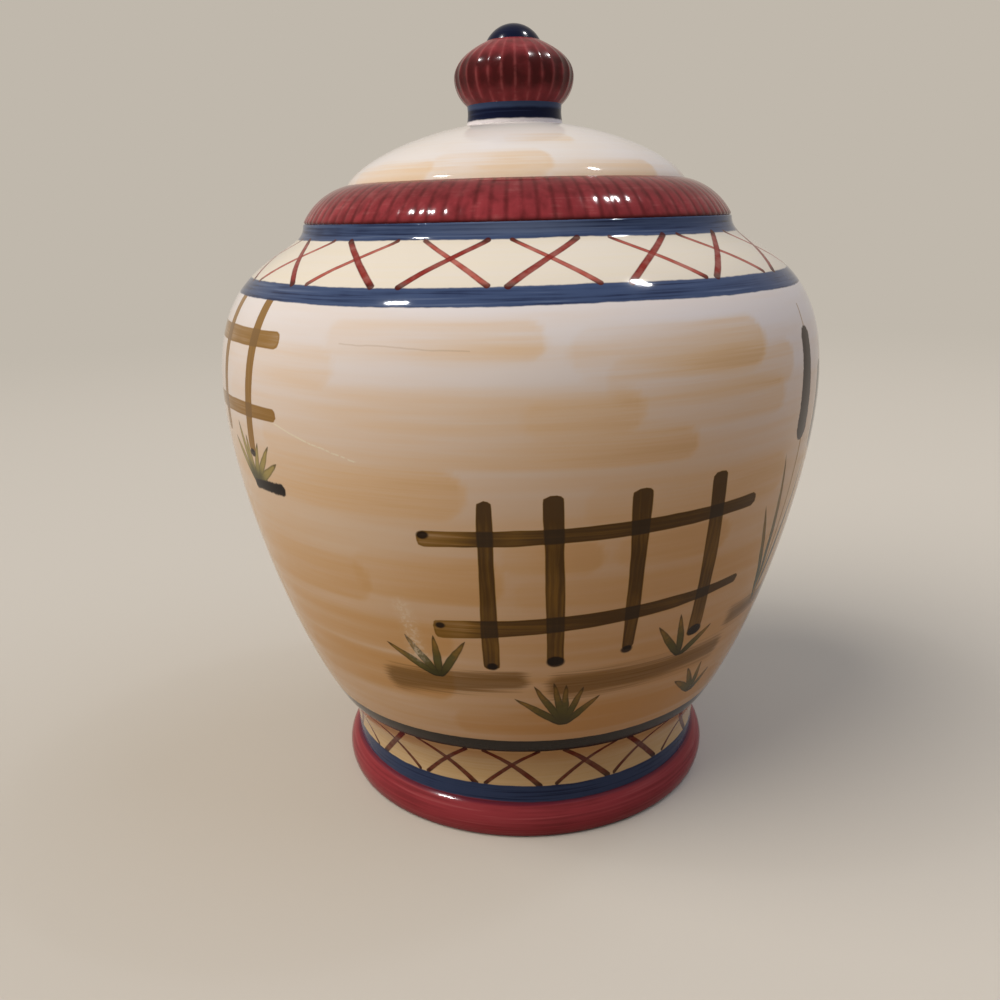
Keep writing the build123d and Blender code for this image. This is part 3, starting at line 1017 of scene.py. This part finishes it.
def flute_edge(g, wall, count, width):
    """1 on the edge between two flutes, 0 in the middle of one."""
    turns = wall.angle * (count / (2 * pi))
    across = turns.maths("PINGPONG", turns, 0.5)
    return g.fade(across + 0.06 * (g.noise(wall.point, 300.0, 2.0) - 0.5), width, 0.02)


def fluted_red(g, wall):
    """Red paint brushed along and across flutes."""
    brushed = wall.streaks(FLUTE_BRISTLES)
    tone = g.mix(RED, RED_DEEP, 0.6 * g.fade(brushed, 0.45, 0.8))
    return g.mix(tone, RED_THIN, 0.5 * g.fade(0.6 * brushed + 0.4 * wall.grain, 0.48, 0.3))


def ring_glaze():
    """The lid's fluted ring: barn red, with more paint in the grooves, darker on the upper half, and painted
    shadow along its lower edge.
    """
    g = Glaze("ring_glaze")
    wall = Wall(g)
    worn = g.noise(wall.point, 240.0, 4.0)
    turns = wall.angle * (RING_RIBS / (2 * pi))
    number = turns.maths("FLOOR", turns)
    load = g.node("ShaderNodeTexWhiteNoise", {"W": number}, "Value", noise_dimensions="1D")
    tone = g.mix(fluted_red(g, wall), RED_DEEP, 0.25 * load)
    tone = g.mix(tone, RED_DEEP, 0.6 * flute_edge(g, wall, RING_RIBS, 0.28) * g.fade(worn, 0.2, 0.6))
    tone = g.mix(tone, RED_DEEP, 0.32 * g.fade(wall.band_up, *RING_HIGH_SHADE))
    # Painted shadow along the ring's lower edge, at the gap where the lid sits on the jar
    tone = g.mix(tone, RED_DEEP, 0.6 * g.fade(wall.up, *RING_LOW_SHADE))
    return g.fired(tone, wall.point, RING_ROUGH)


def bulb_glaze():
    """The knob's bulb: deep red, with the paint worn thin on the ridges between its hollows."""
    g = Glaze("bulb_glaze")
    wall = Wall(g)
    worn = g.noise(wall.point, 240.0, 4.0)
    ridge = flute_edge(g, wall, BULB_FLUTES, 0.42) * g.fade(worn, 0.25, 0.6)
    line = flute_edge(g, wall, BULB_FLUTES, 0.16) * g.fade(worn, 0.35, 0.6)
    # The red is darkest, and blotchy, round the middle
    dark_middle = g.fade(wall.up, *BULB_DARK_HIGH) * (0.2 + 0.5 * g.fade(wall.up, *BULB_DARK_LOW))
    dark_middle = dark_middle + 0.8 * (g.noise(wall.point, 230.0, 2.0) - 0.5)
    tone = g.mix(fluted_red(g, wall), RED_DEEP, 0.35 + dark_middle - 0.25 * ridge)
    return g.fired(g.mix(tone, RED_THIN, 0.28 * line), wall.point, BULB_ROUGH)


def knob_blue(name, white_top):
    """Dark blue on the knob's collar and bead, with a painted highlight along the collar's top, bare below
    white_top.
    """
    g = Glaze(name)
    wall = Wall(g)
    tone = wall.turned_paint(BLUE_DEEP, BLUE_BLACK, BLUE_BLACK)
    # A paler blue along the collar's top is a painted highlight
    tone = g.mix(tone, BLUE, 0.75 * wall.band(COLLAR_TOP[1] - 1.5, COLLAR_TOP[1] + 1.0, 0.5))
    return g.fired(g.mix(tone, BARE, wall.band(-FAR, white_top, 0.3)), wall.point, KNOB_ROUGH)


def seal_rubber():
    """The pale, cloudy rubber of the seal."""
    g = Glaze("seal_rubber_look")
    point = g.places()
    cloud = g.noise(point, 120.0, 4.0)
    tone = g.mix(SILICONE, CREAM, g.fade(cloud, 0.35, 0.7))
    return g.finish(tone, 0.38 + 0.2 * cloud, g.noise(point, 700.0, 3.0), SEAL_GRAIN)


inner_glaze = plain_glaze()

jar = turned(jar_outline(), JAR_STEPS)
jar_finishes = (inner_glaze, bare_clay(), foot_glaze(), body_glaze(), shoulder_glaze(), inner_glaze)
lay_out_body(piece("jar_body", jar, jar_finishes, "jar"))

lid = turned(lid_outline(), RING_STEPS)
for vert in lid.verts:
    rise = (vert.co.z / MM - SEAT[1]) / (RING_EDGE[1] - SEAT[1])
    if hypot(vert.co.x, vert.co.y) / MM > RING_EDGE[0] - NEAR and rise > NEAR:
        groove = (1 - 2 * to_flute(vert.co, RING_RIBS)) ** 2
        drawn_in(vert, RING_RIB_DEPTH * groove * (1 - RING_RUN_OUT * rise))
lay_out_dome(piece("lid_shell", lid, (dome_glaze(), ring_glaze(), inner_glaze), "lid"))

knob = turned(knob_outline(), BULB_STEPS)
for vert in knob.verts:
    rise = (vert.co.z / MM - COLLAR_TOP[1]) / (BULB_TOP[1] - COLLAR_TOP[1])
    if 0 < rise < 1:
        hollow = 1 - (1 - 2 * to_flute(vert.co, BULB_FLUTES)) ** 2
        drawn_in(vert, BULB_FLUTE_DEPTH * hollow * sin(pi * rise) ** BULB_SWELL)
knob_finishes = (knob_blue("collar_glaze", COLLAR_WHITE_TOP), bulb_glaze(), knob_blue("bead_glaze", 0))
piece("lid_knob", knob, knob_finishes, "lid")

piece("lid_seal", turned(seal_outline(), SEAL_STEPS), (seal_rubber(),), "seal")


# Floor, in metres: its radius, its drop below the jar, and where it passes into the surround
FLOOR_RADIUS = 12.0
FLOOR_DROP = 0.0002
FLOOR_FADE = (0.25, 1.4)
FLOOR_ROUGH = 0.8

# Soft lamps: name, place, strength, spread in degrees and tint
SOFT_LAMPS = (
    ("soft_key", (-0.94, -0.4, 1.04), 2.6, 50, KEY_WARM),
    ("soft_fill", (0.8, 0.12, 0.8), 0.9, 60, FILL_COOL),
)
# Bulbs: the middle of each cluster, the step from bulb to bulb, their watts and their radius
BULB_CLUSTERS = (("left", -1.6, -0.34, 2.72), ("right", 1.4, 0.32, 2.81))
BULB_STEP = (0.09, -0.05)
BULB_WATTS = 105.0
BULB_RADIUS = 0.054
# Share of the surround's strength that lights
AMBIENT_SHARE = 0.28

# Camera, from the photograph: its place, its tilt and roll, and its lens
CAMERA_PLACE = (-0.0074, -0.3169, 0.1888)
PITCH = radians(17.035)
ROLL = radians(-1.369)
LENS = 33.97
CLIP_START = 0.01


def seen_directly(nodes):
    """1 for what the camera sees, by itself or through gloss or glass, and 0 for what only lights."""
    ray = nodes.node("ShaderNodeLightPath", output="Is Camera Ray")
    return ray + ray.also("Is Glossy Ray") + ray.also("Is Transmission Ray")


def studio_floor():
    """A wide, plain, pale floor, which throws little light back up, as the table in the photo does."""
    paper = Glaze("floor_paper")
    seen = seen_directly(paper)
    paper.feed(paper.surface.inputs["Base Color"], paper.mix(FLOOR_BOUNCE, FLOOR_GREY, seen))
    paper.feed(paper.surface.inputs["Roughness"], FLOOR_ROUGH)
    # Far from the object the floor passes into the pale surround
    distant = paper.fade(paper.vector("LENGTH", paper.places(), (0, 0, 0), "Value"), *FLOOR_FADE)
    glow = paper.node("ShaderNodeEmission", {"Color": BACKGROUND, "Strength": 1.0})
    paper_light = Wire(paper, paper.surface.outputs[0])
    blend = paper.node("ShaderNodeMixShader", {0: distant * seen, 1: paper_light, 2: glow})
    paper.feed(paper.tree.nodes["Material Output"].inputs["Surface"], blend)
    bm = bmesh.new()
    bmesh.ops.create_circle(bm, cap_ends=True, segments=96, radius=FLOOR_RADIUS)
    mesh = bpy.data.meshes.new("floor")
    bm.to_mesh(mesh)
    bm.free()
    mesh.materials.append(paper.material)
    floor = bpy.data.objects.new("floor", mesh)
    floor.location.z = -FLOOR_DROP
    bpy.context.scene.collection.objects.link(floor)


def lamp(name, kind, place, strength):
    """A lamp at a place, turned to the jar's foot."""
    made = bpy.data.objects.new(name, bpy.data.lights.new(name, kind))
    made.data.energy = strength
    made.location = place
    made.rotation_euler = (-Vector(place)).to_track_quat("-Z", "Y").to_euler()
    bpy.context.scene.collection.objects.link(made)
    return made


def studio_light():
    """Soft light from the left with a weaker fill, two clusters of bulbs for the glints, a pale surround."""
    for name, place, strength, spread, tint in SOFT_LAMPS:
        soft = lamp(name, "SUN", place, strength)
        soft.data.angle = radians(spread)
        soft.data.color = tint[:3]
        soft.visible_glossy = False
    for side, x, y, z in BULB_CLUSTERS:
        for i in (-1, 0, 1):
            place = (x + BULB_STEP[0] * i, y + BULB_STEP[1] * i, z)
            bulb = lamp(f"{side}_bulb_{i + 2}", "POINT", place, BULB_WATTS)
            bulb.data.shadow_soft_size = BULB_RADIUS
            bulb.visible_diffuse = False
    world = bpy.data.worlds.new("studio")
    world.use_nodes = True
    bpy.context.scene.world = world
    sky = Nodes(world.node_tree)
    seen = seen_directly(sky)
    backdrop = world.node_tree.nodes["Background"]
    sky.feed(backdrop.inputs["Color"], sky.mix(AMBIENT, BACKGROUND, seen))
    sky.feed(backdrop.inputs["Strength"], AMBIENT_SHARE + (1 - AMBIENT_SHARE) * seen)


def studio_camera():
    """The camera at the photograph's place and angle."""
    upward = Vector((0, sin(PITCH), cos(PITCH)))
    ahead = Vector((0, cos(PITCH), -sin(PITCH)))
    across = Vector((cos(ROLL), 0, 0)) + upward * sin(ROLL)
    upright = upward * cos(ROLL) - Vector((sin(ROLL), 0, 0))
    camera = bpy.data.objects.new("camera", bpy.data.cameras.new("camera"))
    camera.data.lens = LENS
    camera.data.clip_start = CLIP_START
    turn = Matrix((across, upright, -ahead)).transposed().to_4x4()
    camera.matrix_world = Matrix.Translation(CAMERA_PLACE) @ turn
    bpy.context.scene.collection.objects.link(camera)
    bpy.context.scene.camera = camera
    bpy.context.scene.view_settings.view_transform = "Standard"


studio_floor()
studio_light()
studio_camera()
